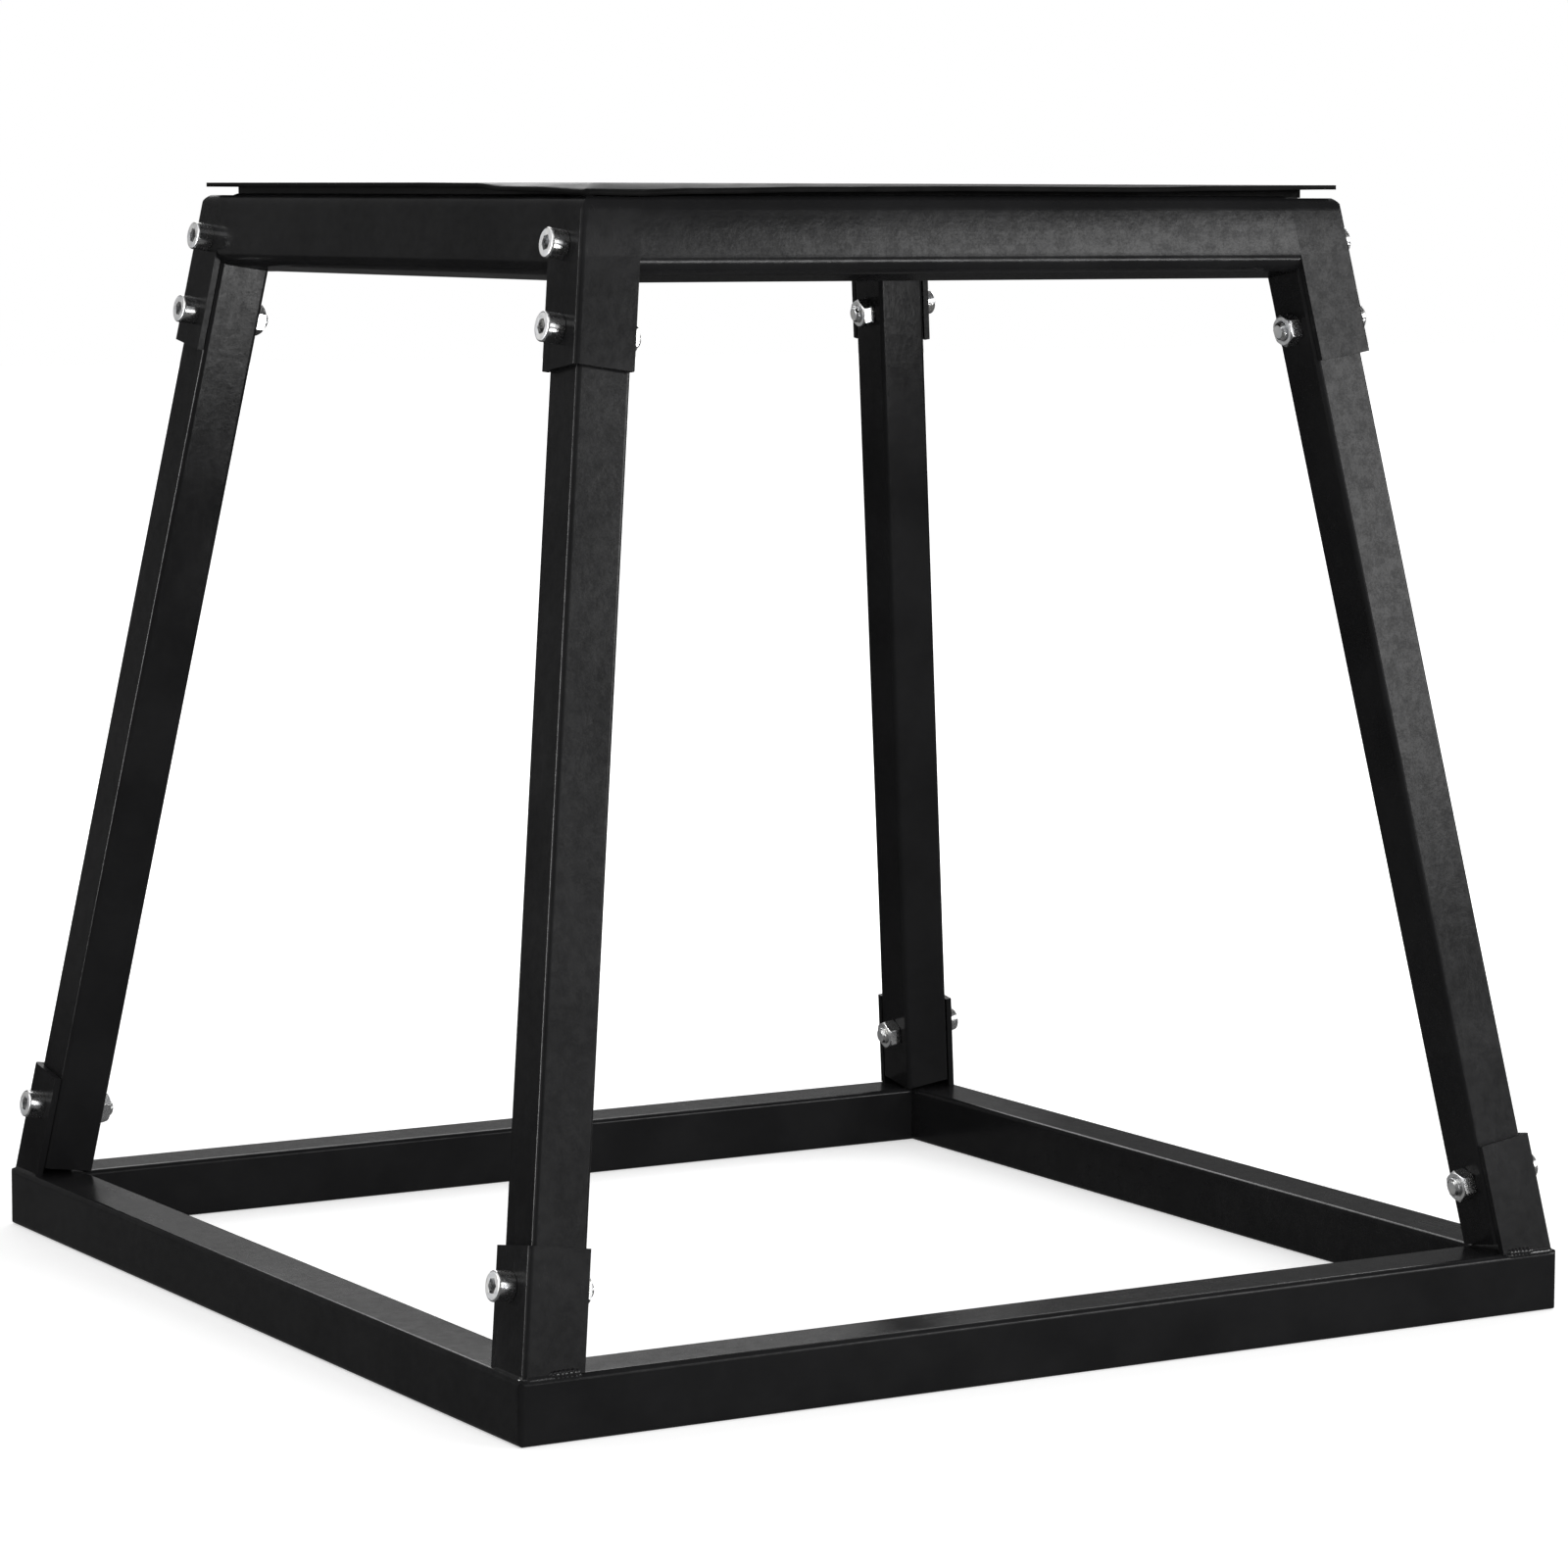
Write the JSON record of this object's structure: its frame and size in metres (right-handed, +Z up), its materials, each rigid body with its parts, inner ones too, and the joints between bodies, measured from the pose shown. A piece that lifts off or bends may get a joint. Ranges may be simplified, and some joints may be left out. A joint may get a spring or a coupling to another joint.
{
  "type": "plyo box",
  "caption": "Open steel-tube plyometric box: square base ring, leaning bolted legs, top frame and a flat deck with a thin rubber landing mat.",
  "frame": {"origin": "on the floor under the middle of the box", "axes": "+Z up, X along the front face (to the right seen from the front), Y from the front to the back; the screw heads face -X and +X"},
  "size_m": [0.536, 0.536, 0.508],
  "materials": {
    "frame_coat": "semi-gloss black powder coat",
    "bright_zinc": "bright zinc plate",
    "mat_rubber": "black rubber sheet with a smooth, slightly uneven skin"
  },
  "bodies": {
    "root": {"base_rail_front": "frame_coat", "base_rail_back": "frame_coat", "base_rail_left": "frame_coat", "base_rail_right": "frame_coat", "top_rail_front": "frame_coat", "top_rail_back": "frame_coat", "top_rail_left": "frame_coat", "top_rail_right": "frame_coat", "base_angle_front_left": "frame_coat", "base_angle_front_right": "frame_coat", "base_angle_back_left": "frame_coat", "base_angle_back_right": "frame_coat", "top_angle_front_left": "frame_coat", "top_angle_front_right": "frame_coat", "top_angle_back_left": "frame_coat", "top_angle_back_right": "frame_coat", "leg_front_left": "frame_coat", "leg_front_right": "frame_coat", "leg_back_left": "frame_coat", "leg_back_right": "frame_coat", "deck_plate": "frame_coat", "rubber_mat": "mat_rubber", "top_upper_screws": "bright_zinc", "top_upper_nuts": "bright_zinc", "top_lower_screws": "bright_zinc", "top_lower_nuts": "bright_zinc", "base_screws": "bright_zinc", "base_nuts": "bright_zinc"}
  },
  "joints": []
}
